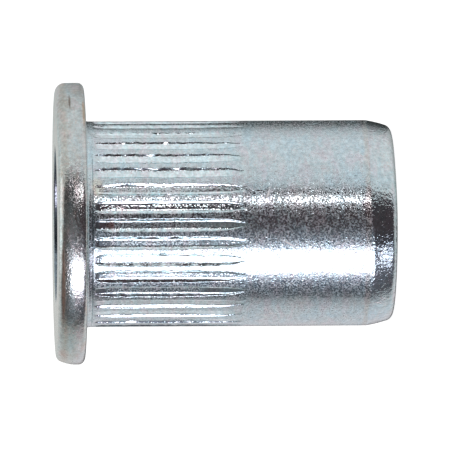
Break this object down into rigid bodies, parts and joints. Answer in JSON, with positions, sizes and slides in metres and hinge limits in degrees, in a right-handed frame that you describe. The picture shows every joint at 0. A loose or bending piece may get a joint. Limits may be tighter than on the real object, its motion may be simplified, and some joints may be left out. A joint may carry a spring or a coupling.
{
  "type": "rivet nut",
  "caption": "Open-end blind rivet nut with a flat head, a grooved shank that grips its panel, a crowned nose and a threaded bore behind a wider counterbore.",
  "frame": {"origin": "centre of the open end's face, on which the nut stands", "axes": "+Z along the axis, from the open end towards the head; one groove lies along +X"},
  "size_m": [0.015, 0.015, 0.0179],
  "materials": {
    "zinc_plated_steel": "bright zinc plate with a clear blue passivate, finely pebbled"
  },
  "bodies": {
    "root": {"rivet_nut": "zinc_plated_steel"}
  },
  "joints": []
}
